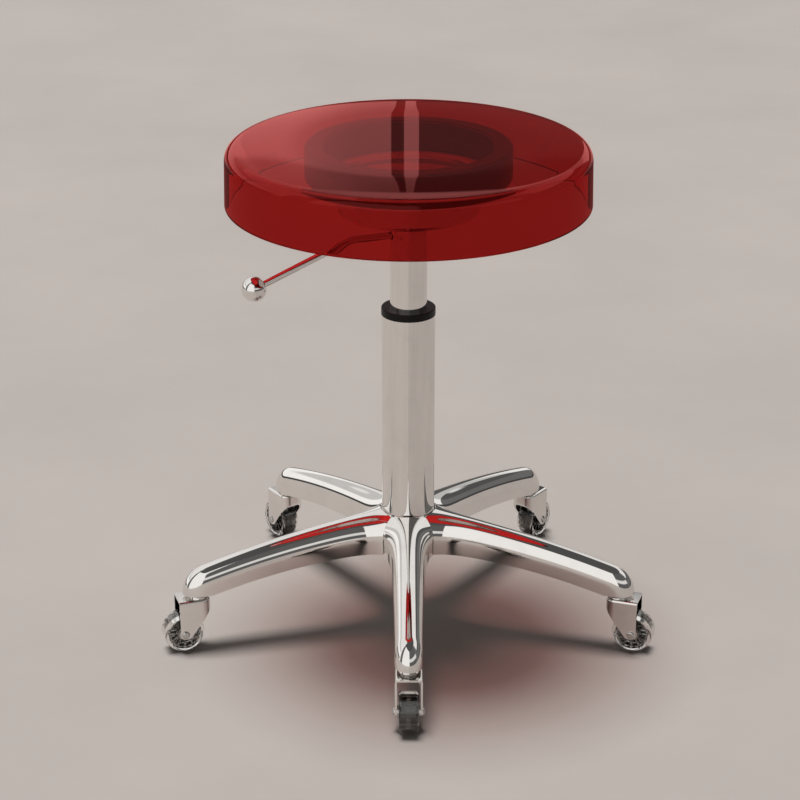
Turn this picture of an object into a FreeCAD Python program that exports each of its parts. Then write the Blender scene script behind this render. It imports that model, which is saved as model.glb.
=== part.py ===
import FreeCAD, Part

import os
from math import acos, atan2, cos, degrees, hypot, pi, radians, sin, sqrt, tan

# Salon stool on five casters: a see-through seat cap on a gas-sprung column.
# Millimetres, +Z up. The origin is on the floor, on the axis of the column.
# The first leg points along -Y. Lengths below are real sizes.

# Clearances
weld_gap = 0.05            # between pieces that are welded or bonded in one body
fit_gap = 0.08             # radial, where one piece slides or turns in another
press_gap = 0.02           # radial, where a piece is pressed into another
face_gap = 0.3             # between faces that pass each other
stop_gap = 2.0             # left at the ends of the lift's travel

# Casters
caster_count = 5
first_leg_azimuth = 270.0
caster_circle_r = 217.5    # swivel axes
caster_trail = 17.0        # from swivel axis to axle
wheel_r = 20.0
wheel_width = 19.0
tyre_edge_round = 3.2
core_r = 16.4
core_rim_wall = 2.0
core_rim_width = 15.8
core_web = 4.0
core_hub_r = 7.6
core_bore_r = 4.2
rib_count = 12
rib_thickness = 1.4
rib_inset = 1.0            # ribs inside the rim's edges
groove_count = 18
groove_width = 2.6
groove_depth = 0.9
bearing_r = 6.0
bearing_seat = 4.0         # depth of the bearing's seat in the hub
axle_r = 3.0
axle_head_r = 4.0
axle_head_height = 2.0
fork_plate = 2.0
fork_width = 26.0
fork_bend = 2.6            # outer radius of the bend round the top
fork_back = 10.2           # reach behind the swivel axis
fork_corner = 9.4
fork_boss_r = 5.0
fork_skirt = 11.0          # height of the hood behind the swivel axis
fork_toe_round = 6.0
wheel_headroom = 13.5      # from the tyre to the underside of the fork's top
stem_r = 5.0
stem_head_r = 8.0
stem_head_height = 2.2
stem_head_round = 0.8
stem_grip = 12.0           # length of stem inside the socket
race_height = 4.0          # from fork to leg tip
race_r = 8.8
race_plate = 1.4
race_sleeve = 0.8          # wall of the race's inner sleeve
race_ball_r = 1.2
race_ball_circle_r = 7.4
race_ball_count = 16
race_lip_wall = 0.8        # of the lip on the fork, round the race
race_lip_height = 1.6

# Legs
leg_wall = 2.5
leg_root_rise = 24.0       # the underside climbs this much from tip to hub
leg_root_width = 38.0
leg_tip_width = 27.5
leg_root_height = 37.0
leg_tip_height = 28.0
leg_side_height = 11.5     # straight lower part of the section, below the crown
leg_root_r = 24.0          # where the leg's underside starts, inside the hub
leg_tip_back = 11.9        # from the swivel axis in to the elbow's inner edge
leg_flare_power = 2.0
leg_stations = 6
socket_plate = 3.0
socket_r = 8.0

# Hub and column
hub_wall = 2.2
hub_skirt = 8.0            # hub below the legs' underside
hub_top_step = 1.2         # hub top below the crown of the legs
hub_top_round = 1.0
tube_r = 26.0
tube_wall = 2.0
tube_foot = 4.0            # tube end above the hub's lower edge
tube_show = 207.5          # bare outer tube between hub and collar
collar_lip = 7.3
collar_overhang = 0.4
collar_round = 1.0
collar_spigot = 37.0
inner_tube_r = 18.0
inner_tube_wall = 1.6
inner_tube_show = 80.0     # bare inner tube between collar and tray neck
slider_height = 20.0
lift_up = 70.0
lift_down = 60.0

# Gas spring
gas_r = 14.0
gas_wall = 2.0
gas_hang = 3.0             # cylinder end below the inner tube
taper_length = 40.0
taper_narrowing = 0.85
taper_sleeve_length = 38.0
gland_length = 17.0
rod_r = 5.0
rod_pin_r = 4.0            # thin lower end of the rod
rod_stub_r = 3.5           # upper end, inside the piston
rod_tail = 6.0             # rod end below the foot plate
piston_height = 14.0
piston_gap = 4.0           # left at both ends of the stroke
pin_r = 3.0
pin_show = 4.4             # release pin above the cylinder
pin_depth = 24.0           # release pin inside the cylinder

# Foot of the column
foot_plate = 4.0
washer_thickness = 1.5
washer_r = 12.0
thrust_ball_r = 2.0
thrust_ball_circle_r = 8.2
thrust_ball_count = 8
cage_thickness = 1.6
cage_inner_r = 5.6
cage_outer_r = 11.2
clip_thickness = 2.0
clip_r = 7.5
clip_opening = 6.0         # width of the clip's mouth

# Lever
lever_azimuth = 200.0
lever_r = 3.5
lever_inner = 7.0          # end past the column's axis
lever_pivot_r = 12.0       # pivot from the column's axis
lever_bend_r = 58.0        # bend from the column's axis
lever_bend_round = 16.0
lever_reach = 155.0        # knob's centre from the column's axis
lever_drop = 38.0
lever_neck_gap = 2.0       # from the rod up to the tray's neck
lever_slot_gap = 1.3       # round the rod where it leaves the tube
lever_end_round = 1.0
lever_pin_r = 1.5
knob_r = 12.0
knob_flat = 1.2            # flat where the rod enters

# Seat
seat_r = 175.0             # at the rim
seat_height = 58.5
seat_wall = 5.0
seat_draft = 0.8           # rim wider than the top of the wall
seat_edge_round = 12.0
seat_flat_r = 104.0        # flat middle of the top
seat_shoulder_slope = 6.0  # degrees, where the shoulder meets the edge
seat_rim_round = 1.0
bond_thickness = 1.0
bond_land = 2.0            # bond ring inside the support ring's edges
ring_outer_r = 98.5
ring_wall = 18.0
ring_height = 37.0
ring_round = 1.5
rebate_wall = 8.5          # of the ring, outside the rebate
rebate_depth = 8.0
plate_thickness = 4.0
plate_lip = 4.0            # of the plate, inside the tray's wall
tray_sheet = 2.5
tray_flange = 19.0         # from the tray's wall to the rebate
tray_wall_height = 24.0
tray_floor_rise = 14.0
tray_corner_round = 10.0
tray_bend = 2.0            # inside radius of the other bends
tray_neck = 5.0
screw_count = 6
screw_edge = 5.2           # from the screws' axes to the rebate
screw_r = 2.4
screw_head_r = 4.4
screw_head_height = 2.4
screw_head_round = 1.6
screw_grip = 12.0          # length inside the support ring

V = FreeCAD.Vector
AXIS = V(0, 0, 1)

# Heights that follow from the sizes above, from the floor up
axle_z = wheel_r
fork_under_z = 2 * wheel_r + wheel_headroom
fork_top_z = fork_under_z + fork_plate
tip_z = fork_top_z + race_height
root_z = tip_z + leg_root_rise
hub_low_z = root_z - hub_skirt
hub_top_z = root_z + leg_root_height - hub_top_step
tube_low_z = hub_low_z + tube_foot
tube_top_z = hub_top_z + tube_show
collar_top_z = tube_top_z + collar_lip
spigot_low_z = tube_top_z - collar_spigot
slider_top_z = spigot_low_z - lift_up - stop_gap
inner_low_z = slider_top_z - slider_height
gas_low_z = inner_low_z - gas_hang
gland_top_z = gas_low_z + gland_length
piston_low_z = gland_top_z + lift_up + piston_gap
piston_top_z = piston_low_z + piston_height
bore_top_z = piston_top_z + lift_down + piston_gap
foot_top_z = tube_low_z + foot_plate
lower_washer_top_z = foot_top_z + washer_thickness
balls_z = lower_washer_top_z + weld_gap + thrust_ball_r
upper_washer_low_z = balls_z + thrust_ball_r + weld_gap
rod_shoulder_z = upper_washer_low_z + washer_thickness
neck_low_z = collar_top_z + inner_tube_show
tray_floor_z = neck_low_z + tray_neck
tray_corner_z = tray_floor_z + tray_floor_rise
flange_low_z = tray_corner_z + tray_wall_height
plate_low_z = flange_low_z + tray_sheet
ledge_z = plate_low_z + plate_thickness
ring_low_z = ledge_z - rebate_depth
ring_top_z = ring_low_z + ring_height
seat_under_z = ring_top_z + bond_thickness
seat_top_z = seat_under_z + seat_wall
seat_rim_z = seat_top_z - seat_height
lever_z = neck_low_z - lever_neck_gap - lever_r
pin_top_z = lever_z - lever_r - face_gap
gas_top_z = pin_top_z - pin_show

# Radii that follow
tube_bore_r = tube_r - tube_wall
hub_bore_r = tube_r + press_gap
hub_r = hub_bore_r + hub_wall
inner_tube_bore_r = inner_tube_r - inner_tube_wall
gas_bore_r = gas_r - gas_wall
fork_half = fork_width / 2
fork_inner_half = fork_half - fork_plate
wheel_half = wheel_width / 2
leg_tip_r = caster_circle_r - leg_tip_back
race_lip_inner_r = race_r + face_gap
ring_inner_r = ring_outer_r - ring_wall
rebate_r = ring_outer_r - rebate_wall
screw_circle_r = rebate_r - screw_edge
tray_wall_r = rebate_r - tray_flange
plate_hole_r = tray_wall_r - plate_lip
sector_half = pi / caster_count


def unit(vector):
    return vector * (1 / vector.Length)


def rounded_wire(corners, place):
    """Closed wire through (a, b) corners; a third value rounds the corner with a tangent arc."""
    points = [V(corner[0], corner[1], 0) for corner in corners]
    starts, ends, edges = [], [], []
    for index, corner in enumerate(corners):
        point = points[index]
        if len(corner) < 3:
            starts.append(point)
            ends.append(point)
            edges.append(None)
            continue
        back = unit(points[index - 1] - point)
        ahead = unit(points[(index + 1) % len(points)] - point)
        half_angle = acos(back * ahead) / 2
        tangent = corner[2] / tan(half_angle)
        starts.append(point + back * tangent)
        ends.append(point + ahead * tangent)
        middle = point + unit(back + ahead) * (corner[2] / sin(half_angle) - corner[2])
        edges.append(Part.Arc(place(starts[-1]), place(middle), place(ends[-1])).toShape())
    chain = []
    for index, end in enumerate(ends):
        if edges[index]:
            chain.append(edges[index])
        start = starts[(index + 1) % len(starts)]
        if (start - end).Length > press_gap / 100:
            chain.append(Part.makeLine(place(end), place(start)))
    return Part.Wire(chain)


def turned(corners):
    """Solid of revolution about Z; corners are (radius, height) with an optional rounding."""
    wire = rounded_wire(corners, lambda p: V(p.x, 0, p.y))
    return Part.Face(wire).revolve(V(), AXIS, 360)


def ring(inner, outer, low, high):
    return turned([(inner, low), (outer, low), (outer, high), (inner, high)])


def disc(radius, low, high, x=0, y=0):
    return Part.makeCylinder(radius, high - low, V(x, y, low))


def slab(corners, low, high):
    """Flat plate: an outline in X and Y, from one height to another."""
    wire = rounded_wire(corners, lambda p: V(p.x, p.y, low))
    return Part.Face(wire).extrude(V(0, 0, high - low))


def upright(corners, half_width):
    """Plate on edge: an outline in X and Z, the same width to both sides along Y."""
    wire = rounded_wire(corners, lambda p: V(p.x, -half_width, p.y))
    return Part.Face(wire).extrude(V(0, 2 * half_width, 0))


def moved(shape, x=0, y=0, z=0):
    copy = shape.copy()
    copy.translate(V(x, y, z))
    return copy


def swung(shape, azimuth):
    copy = shape.copy()
    copy.rotate(V(), AXIS, azimuth)
    return copy


def pattern(shape, count):
    return [swung(shape, 360 / count * index) for index in range(count)]


def leg_azimuth(index):
    return first_leg_azimuth + 360 / caster_count * index


def at_leg_tips(shape):
    """A group with one copy on each swivel axis."""
    first = moved(shape, caster_circle_r)
    return Part.makeCompound([swung(first, leg_azimuth(i)) for i in range(caster_count)])


# Seat
def seat_shell():
    """Cap with a flat middle, a soft shoulder, a rounded edge and a drafted wall."""
    slope = radians(seat_shoulder_slope)
    wall_top_r = seat_r - seat_draft
    shoulder_end_r = wall_top_r - seat_edge_round * (1 - sin(slope))
    shoulder_r = (shoulder_end_r - seat_flat_r) / sin(slope)
    shoulder_drop = shoulder_r * (1 - cos(slope))
    edge_r = shoulder_end_r - seat_edge_round * sin(slope)
    edge_z = seat_top_z - shoulder_drop - seat_edge_round * cos(slope)

    def half_section(inset):
        def shoulder(angle):
            reach = shoulder_r - inset
            return V(seat_flat_r + reach * sin(angle), 0, seat_top_z - shoulder_r + reach * cos(angle))

        def edge(angle):
            reach = seat_edge_round - inset
            return V(edge_r + reach * sin(angle), 0, edge_z + reach * cos(angle))

        axis_point = V(0, 0, seat_top_z - inset)
        rim_point = V(seat_r - inset, 0, seat_rim_z)
        return axis_point, rim_point, [
            Part.makeLine(axis_point, shoulder(0)),
            Part.Arc(shoulder(0), shoulder(slope / 2), shoulder(slope)).toShape(),
            Part.Arc(edge(slope), edge((slope + pi / 2) / 2), edge(pi / 2)).toShape(),
            Part.makeLine(edge(pi / 2), rim_point),
        ]

    outer_top, outer_rim, outer = half_section(0)
    inner_top, inner_rim, inner = half_section(seat_wall)
    rim = Part.makeLine(outer_rim, inner_rim)
    middle = Part.makeLine(inner_top, outer_top)
    wire = Part.Wire(outer + [rim] + inner[::-1] + [middle])
    shell = Part.Face(wire).revolve(V(), AXIS, 360)
    rim_edges = [e for e in shell.Edges if e.BoundBox.ZMax < seat_rim_z + seat_rim_round / 2]
    return shell.makeFillet(seat_rim_round, [e for e in rim_edges if e.Length > seat_r])


def support_ring():
    """Thick drum wall under the seat, with a rebate below for the mounting plate."""
    body = turned([
        (ring_inner_r, ledge_z), (rebate_r, ledge_z), (rebate_r, ring_low_z),
        (ring_outer_r, ring_low_z, ring_round), (ring_outer_r, ring_top_z, ring_round),
        (ring_inner_r, ring_top_z, ring_round),
    ])
    hole = disc(screw_r + weld_gap, ledge_z, ledge_z + screw_grip + stop_gap, screw_circle_r)
    return body.cut(Part.makeCompound(pattern(hole, screw_count)))


def bond_ring():
    return ring(ring_inner_r + bond_land, ring_outer_r - bond_land, ring_top_z, seat_under_z)


def screw_clearance(low, high):
    hole = disc(screw_r + face_gap, low, high, screw_circle_r)
    return Part.makeCompound(pattern(hole, screw_count))


def mounting_plate():
    plate = ring(plate_hole_r, rebate_r - face_gap, plate_low_z, ledge_z)
    return plate.cut(screw_clearance(plate_low_z, ledge_z))


def seat_tray():
    """Pressed pan: flange, wall, dished floor and a neck drawn down round the inner tube."""
    neck_bore_r = inner_tube_r + weld_gap
    neck_r = neck_bore_r + tray_sheet
    slope = atan2(tray_floor_rise, tray_wall_r - neck_r)
    lift = tray_sheet / cos(slope)

    def upper(radius):
        return tray_floor_z + (radius - neck_r) * tan(slope) + lift

    flange_r = rebate_r - face_gap
    inner_wall_r = tray_wall_r - tray_sheet
    pan = turned([
        (neck_bore_r, neck_low_z), (neck_r, neck_low_z),
        (neck_r, tray_floor_z, tray_bend), (tray_wall_r, tray_corner_z, tray_corner_round),
        (tray_wall_r, flange_low_z, tray_bend), (flange_r, flange_low_z),
        (flange_r, plate_low_z), (inner_wall_r, plate_low_z, tray_bend + tray_sheet),
        (inner_wall_r, upper(inner_wall_r), tray_corner_round - tray_sheet),
        (neck_bore_r, upper(neck_bore_r), tray_bend + tray_sheet),
    ])
    return pan.cut(screw_clearance(flange_low_z, plate_low_z))


def tray_screws():
    head_low_z = flange_low_z - screw_head_height
    screw = turned([
        (0, head_low_z), (screw_head_r, head_low_z, screw_head_round), (screw_head_r, flange_low_z),
        (screw_r, flange_low_z), (screw_r, ledge_z + screw_grip), (0, ledge_z + screw_grip),
    ])
    return Part.makeCompound(pattern(moved(screw, screw_circle_r), screw_count))


# Column
def inner_tube():
    """Sliding tube, with the lever's slot and the holes of its pivot pin near the top."""
    tube = ring(inner_tube_bore_r, inner_tube_r, inner_low_z, tray_floor_z)
    slot = Part.makeCylinder(lever_r + lever_slot_gap, 2 * inner_tube_r, V(0, 0, lever_z), V(1, 0, 0))
    holes = lever_cross_hole(lever_pin_r + press_gap)
    return tube.cut([swung(slot, lever_azimuth), swung(holes, lever_azimuth)])


def lever_cross_hole(radius):
    """Cylinder across the tube along the lever's pivot."""
    start = V(lever_pivot_r, -inner_tube_r, lever_z)
    return Part.makeCylinder(radius, 2 * inner_tube_r, start, V(0, 1, 0))


def lever_pin():
    inside = disc(inner_tube_r - fit_gap, lever_z - 2 * lever_pin_r, lever_z + 2 * lever_pin_r)
    return swung(lever_cross_hole(lever_pin_r).common(inside), lever_azimuth)


def tube_slider():
    """Plastic ring on the end of the inner tube that runs in the outer tube."""
    return ring(inner_tube_r + weld_gap, tube_bore_r - fit_gap, inner_low_z, slider_top_z)


def column_collar():
    """Lip on top of the outer tube and a spigot inside it that guides the inner tube."""
    bore_r = inner_tube_r + fit_gap
    lip_r = tube_r + collar_overhang
    spigot_r = tube_bore_r - weld_gap
    return turned([
        (bore_r, spigot_low_z), (spigot_r, spigot_low_z), (spigot_r, tube_top_z),
        (lip_r, tube_top_z), (lip_r, collar_top_z, collar_round), (bore_r, collar_top_z),
    ])


def outer_tube():
    return ring(tube_bore_r, tube_r, tube_low_z, tube_top_z)


def base_hub():
    """Ring that the legs are welded to, with a lip below that carries the outer tube."""
    return turned([
        (tube_bore_r, hub_low_z), (hub_r, hub_low_z), (hub_r, hub_top_z, hub_top_round),
        (hub_bore_r, hub_top_z), (hub_bore_r, tube_low_z), (tube_bore_r, tube_low_z),
    ])


# Gas spring
def gas_cylinder():
    """Pressure tube that narrows to a taper at the top, with the valve's bore."""
    taper_low_z = gas_top_z - taper_length
    pin_bore_r = pin_r + fit_gap
    pin_bore_z = gas_top_z - pin_depth - stop_gap
    return turned([
        (gas_bore_r, gas_low_z), (gas_r, gas_low_z), (gas_r, taper_low_z),
        (gas_r - taper_narrowing, gas_top_z), (pin_bore_r, gas_top_z), (pin_bore_r, pin_bore_z),
        (0, pin_bore_z), (0, bore_top_z), (gas_bore_r, bore_top_z),
    ])


def taper_sleeve():
    sleeve_low_z = gas_top_z - taper_sleeve_length

    def bore(z):
        return gas_r - taper_narrowing * (z - gas_top_z + taper_length) / taper_length + weld_gap

    outer = inner_tube_bore_r - weld_gap
    return turned([
        (bore(sleeve_low_z), sleeve_low_z), (outer, sleeve_low_z),
        (outer, gas_top_z), (bore(gas_top_z), gas_top_z),
    ])


def gas_gland():
    return ring(rod_r + fit_gap, gas_bore_r - press_gap, gas_low_z, gland_top_z)


def piston_rod():
    """Rod that stands on the thrust bearing, with a thin lower end and a stub for the piston."""
    tail_z = tube_low_z - rod_tail
    stub_top_z = piston_top_z + stop_gap
    return turned([
        (0, tail_z), (rod_pin_r, tail_z), (rod_pin_r, rod_shoulder_z), (rod_r, rod_shoulder_z),
        (rod_r, piston_low_z), (rod_stub_r, piston_low_z), (rod_stub_r, stub_top_z), (0, stub_top_z),
    ])


def piston():
    return ring(rod_stub_r + press_gap, gas_bore_r - fit_gap, piston_low_z, piston_top_z)


def release_pin():
    low_z = gas_top_z - pin_depth
    return turned([(0, low_z), (pin_r, low_z), (pin_r, pin_top_z, pin_r - press_gap), (0, pin_top_z)])


# Foot of the column
def foot_plate_disc():
    return ring(rod_pin_r + fit_gap, tube_bore_r - weld_gap, tube_low_z, foot_top_z)


def thrust_washer(low_z):
    return ring(rod_pin_r + fit_gap, washer_r, low_z, low_z + washer_thickness)


def thrust_balls():
    ball = Part.makeSphere(thrust_ball_r, V(thrust_ball_circle_r, 0, balls_z))
    return Part.makeCompound(pattern(ball, thrust_ball_count))


def thrust_cage():
    half = cage_thickness / 2
    cage = ring(cage_inner_r, cage_outer_r, balls_z - half, balls_z + half)
    pocket = disc(thrust_ball_r + fit_gap, balls_z - half, balls_z + half, thrust_ball_circle_r)
    return cage.cut(pattern(pocket, thrust_ball_count))


def rod_clip():
    """Open ring under the foot plate that keeps the rod in place."""
    top_z = tube_low_z - face_gap
    clip = ring(rod_pin_r + press_gap, clip_r, top_z - clip_thickness, top_z)
    mouth = Part.makeBox(clip_r, clip_opening, clip_thickness, V(0, -clip_opening / 2, top_z - clip_thickness))
    return clip.cut(mouth)


# Lever
def lever_rod():
    """Round rod: level inside the tube, one bend, then straight down to the knob."""
    run = lever_reach - lever_bend_r
    slope = atan2(lever_drop, run)
    tangent = lever_bend_round * tan(slope / 2)
    along = V(cos(slope), 0, -sin(slope))
    start = V(-lever_inner, 0, lever_z)
    bend = V(lever_bend_r, 0, lever_z)
    end = bend + along * hypot(run, lever_drop)
    bend_start = bend - V(tangent, 0, 0)
    bend_end = bend + along * tangent
    centre = bend_start - V(0, 0, lever_bend_round)
    bend_middle = centre + V(sin(slope / 2), 0, cos(slope / 2)) * lever_bend_round
    path = Part.Wire([
        Part.makeLine(start, bend_start),
        Part.Arc(bend_start, bend_middle, bend_end).toShape(),
        Part.makeLine(bend_end, end),
    ])
    section = Part.Wire(Part.makeCircle(lever_r, start, V(1, 0, 0)))
    rod = path.makePipeShell([section], True, False)
    inner_rim = [e for e in rod.Edges if e.BoundBox.XMax < press_gap - lever_inner]
    rod = rod.makeFillet(lever_end_round, inner_rim)
    return swung(rod.cut(lever_cross_hole(lever_pin_r + fit_gap)), lever_azimuth)


def lever_knob():
    """Ball with a flat and a blind hole where the rod enters."""
    run = lever_reach - lever_bend_r
    slope = atan2(lever_drop, run)
    centre = V(lever_reach, 0, lever_z - lever_drop)
    back = V(-cos(slope), 0, sin(slope))
    ball = Part.makeSphere(knob_r, centre)
    hole = Part.makeCylinder(lever_r + press_gap, knob_r, centre, back)
    trim = Part.makeCylinder(knob_r, knob_r, centre + back * (knob_r - knob_flat), back)
    return swung(ball.cut([hole, trim]), lever_azimuth)


# Base
def leg_form(inset, drop):
    """A leg along +X: an arched section along a falling arc, turned down at the tip.

    Inset leaves a wall on the sides and crown; drop lets the form reach below the underside.
    """
    run = leg_tip_r - leg_root_r
    chord_angle = atan2(leg_root_rise, run)
    fall = 2 * chord_angle
    arc_r = hypot(run, leg_root_rise) / (2 * sin(chord_angle))

    def flared(tip, root, share):
        return tip + (root - tip) * (1 - share) ** leg_flare_power

    def section(share, low):
        half = flared(leg_tip_width, leg_root_width, share) / 2 - inset
        height = flared(leg_tip_height, leg_root_height, share) - inset
        angle = fall * share

        def point(y, up):
            reach = arc_r + up
            return V(leg_root_r + reach * sin(angle), y, root_z - arc_r + reach * cos(angle))

        def quarter(side):
            curve = Part.BezierCurve()
            curve.setPoles([point(side * half, leg_side_height), point(side * half, height), point(0, height)])
            curve.setWeight(2, sqrt(0.5))
            return curve.toShape()

        return Part.Wire([
            Part.makeLine(point(-half, low), point(half, low)),
            Part.makeLine(point(half, low), point(half, leg_side_height)),
            quarter(1),
            quarter(-1),
            Part.makeLine(point(-half, leg_side_height), point(-half, low)),
        ])

    shares = [index / (leg_stations - 1) for index in range(leg_stations)]
    beam = Part.makeLoft([section(share, -drop) for share in shares], True, False)
    elbow_axis = V(leg_tip_r, 0, tip_z)
    elbow = Part.Face(section(1, 0)).revolve(elbow_axis, V(0, 1, 0), 90 - degrees(fall))
    return beam, elbow


def leg():
    """Pressed leg, open underneath, mitred against its neighbours and cut to the hub."""
    beam, elbow = leg_form(0, 0)
    hollow_beam, hollow_elbow = leg_form(leg_wall, leg_wall)
    body = beam.fuse(elbow).cut([hollow_beam, hollow_elbow])
    reach = caster_circle_r + leg_tip_height
    start = weld_gap / sin(sector_half)
    side = reach * tan(sector_half)
    sector = slab([(start, 0), (start + reach, -side), (start + reach, side)], 0, hub_top_z + leg_root_height)
    core = disc(hub_r + weld_gap, 0, hub_top_z + leg_root_height)
    return body.common(sector).cut(core).removeSplitter()


def stem_socket():
    """Plug welded into the leg's tip, with a boss bored for the caster's stem."""
    hollow_elbow = leg_form(leg_wall + weld_gap, 0)[1]
    boss_top_z = tip_z + stem_grip + stop_gap
    boss = disc(socket_r, tip_z, boss_top_z, caster_circle_r)
    reach = leg_tip_height
    plate = Part.makeBox(reach, leg_tip_width, socket_plate, V(leg_tip_r, -leg_tip_width / 2, tip_z))
    bore = disc(stem_r + press_gap, tip_z, tip_z + stem_grip, caster_circle_r)
    plug = plate.fuse(boss).common(hollow_elbow).cut(bore).removeSplitter()
    return moved(plug, -caster_circle_r)


def caster_stem():
    head_top_z = fork_under_z - face_gap
    head_low_z = head_top_z - stem_head_height
    stem_top_z = tip_z + stem_grip - face_gap
    return turned([
        (0, head_low_z), (stem_head_r, head_low_z, stem_head_round), (stem_head_r, head_top_z),
        (stem_r, head_top_z), (stem_r, stem_top_z), (0, stem_top_z),
    ])


def swivel_race():
    """Upper race under the leg's tip, with a sleeve round the stem."""
    bore_r = stem_r + press_gap
    sleeve_r = bore_r + race_sleeve
    plate_z = tip_z - race_plate
    sleeve_low_z = fork_top_z + face_gap
    return turned([
        (bore_r, sleeve_low_z), (sleeve_r, sleeve_low_z), (sleeve_r, plate_z),
        (race_r, plate_z), (race_r, tip_z), (bore_r, tip_z),
    ])


def swivel_balls():
    ball_z = (fork_top_z + tip_z - race_plate) / 2
    ball = Part.makeSphere(race_ball_r, V(race_ball_circle_r, 0, ball_z))
    return Part.makeCompound(pattern(ball, race_ball_count))


# Casters, built on a swivel axis at x = 0 with the wheel trailing along +X
def caster_fork():
    """Plate drawn to a half-round hood, with a lip round the race and side plates that narrow to the axle."""
    front = caster_trail + fork_boss_r
    boss_back = caster_trail - fork_boss_r
    boss_low_z = axle_z - fork_boss_r

    def hood(inset, end, top_z, bend):
        block = slab([
            (inset - fork_back, inset - fork_half, fork_corner - inset), (end, inset - fork_half),
            (end, fork_half - inset), (inset - fork_back, fork_half - inset, fork_corner - inset),
        ], boss_low_z, top_z)
        rim = [e for e in block.Edges if e.BoundBox.ZMin > top_z - bend and e.BoundBox.XMin < end - bend]
        return block.makeFillet(bend, rim)

    outside = hood(0, front, fork_top_z, fork_bend)
    inside = hood(fork_plate, front + fork_plate, fork_under_z, fork_bend - fork_plate)
    side = upright([
        (-fork_back, fork_top_z), (front, fork_top_z), (front, boss_low_z, fork_boss_r - press_gap),
        (boss_back, boss_low_z, fork_toe_round), (-fork_back, fork_top_z - fork_skirt),
    ], fork_width)
    lip = disc(race_lip_inner_r + race_lip_wall, fork_under_z, fork_top_z + race_lip_height)
    lip = lip.cut(disc(race_lip_inner_r, fork_top_z, fork_top_z + race_lip_height))
    axle_hole = Part.makeCylinder(axle_r + press_gap, fork_width, V(caster_trail, -fork_half, axle_z), V(0, 1, 0))
    stem_hole = disc(stem_r + fit_gap, fork_under_z, fork_top_z)
    return outside.cut(inside).common(side).fuse(lip).cut([axle_hole, stem_hole]).removeSplitter()


def on_axle(shape):
    """Turns a piece made about Z on to the axle, across the caster."""
    copy = shape.copy()
    copy.rotate(V(), V(1, 0, 0), 90)
    return moved(copy, caster_trail, 0, axle_z)


def axle_bolt():
    """Axle with a domed head formed on each end."""
    head_z = fork_half + axle_head_height
    dome = axle_head_height - press_gap
    return on_axle(turned([
        (0, -head_z), (axle_head_r, -head_z, dome), (axle_head_r, -fork_half), (axle_r, -fork_half),
        (axle_r, fork_half), (axle_head_r, fork_half), (axle_head_r, head_z, dome), (0, head_z),
    ]))


def wheel_core():
    """Hub, ribbed web, and a rim with grooves across it that grip the tyre."""
    rim_r = core_r - core_rim_wall
    web = core_web / 2
    rim = core_rim_width / 2
    seat_z = wheel_half - bearing_seat
    core = turned([
        (core_bore_r, -seat_z), (bearing_r, -seat_z), (bearing_r, -wheel_half), (core_hub_r, -wheel_half),
        (core_hub_r, -web), (rim_r, -web), (rim_r, -rim), (core_r, -rim),
        (core_r, rim), (rim_r, rim), (rim_r, web), (core_hub_r, web),
        (core_hub_r, wheel_half), (bearing_r, wheel_half), (bearing_r, seat_z), (core_bore_r, seat_z),
    ])
    rib_start = (bearing_r + core_hub_r) / 2
    rib_length = (rim_r + core_r) / 2 - rib_start
    rib_half = rim - rib_inset
    rib = Part.makeBox(rib_length, rib_thickness, 2 * rib_half, V(rib_start, -rib_thickness / 2, -rib_half))
    groove = Part.makeBox(2 * groove_depth, groove_width, 2 * rim, V(core_r - groove_depth, -groove_width / 2, -rim))
    core = core.fuse(pattern(rib, rib_count)).cut(Part.makeCompound(pattern(groove, groove_count)))
    return on_axle(core.removeSplitter())


def tyre():
    inner = core_r + weld_gap
    return on_axle(turned([
        (inner, -wheel_half), (wheel_r, -wheel_half, tyre_edge_round),
        (wheel_r, wheel_half, tyre_edge_round), (inner, wheel_half),
    ]))


def wheel_bearings():
    """A flanged bush in each side of the hub, which also spaces the wheel in the fork."""
    inner = axle_r + fit_gap
    near = ring(inner, bearing_r - press_gap, wheel_half - bearing_seat, fork_inner_half - face_gap)
    far = ring(inner, bearing_r - press_gap, face_gap - fork_inner_half, bearing_seat - wheel_half)
    return on_axle(Part.makeCompound([near, far]))


parts = {
    "seat_shell": seat_shell(),
    "bond_ring": bond_ring(),
    "support_ring": support_ring(),
    "mounting_plate": mounting_plate(),
    "seat_tray": seat_tray(),
    "tray_screws": tray_screws(),
    "inner_tube": inner_tube(),
    "tube_slider": tube_slider(),
    "taper_sleeve": taper_sleeve(),
    "gas_cylinder": gas_cylinder(),
    "gas_gland": gas_gland(),
    "piston_rod": piston_rod(),
    "piston": piston(),
    "release_pin": release_pin(),
    "lever_pin": lever_pin(),
    "lever_rod": lever_rod(),
    "lever_knob": lever_knob(),
    "column_collar": column_collar(),
    "outer_tube": outer_tube(),
    "foot_plate": foot_plate_disc(),
    "thrust_washer_lower": thrust_washer(foot_top_z),
    "thrust_washer_upper": thrust_washer(upper_washer_low_z),
    "thrust_balls": thrust_balls(),
    "thrust_cage": thrust_cage(),
    "rod_clip": rod_clip(),
    "base_hub": base_hub(),
    "stem_sockets": at_leg_tips(stem_socket()),
    "caster_stems": at_leg_tips(caster_stem()),
    "swivel_races": at_leg_tips(swivel_race()),
    "swivel_balls": at_leg_tips(swivel_balls()),
}

repeated = {
    "caster_fork": caster_fork(),
    "axle_bolt": axle_bolt(),
    "wheel_core": wheel_core(),
    "tyre": tyre(),
    "wheel_bearings": wheel_bearings(),
}
one_leg = leg()
for number in range(caster_count):
    parts[f"leg_{number + 1}"] = swung(one_leg, leg_azimuth(number))
    for name, shape in repeated.items():
        parts[f"{name}_{number + 1}"] = swung(moved(shape, caster_circle_r), leg_azimuth(number))

os.makedirs("parts", exist_ok=True)
for name, shape in parts.items():
    shape.exportStep(f"parts/{name}.step")
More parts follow.
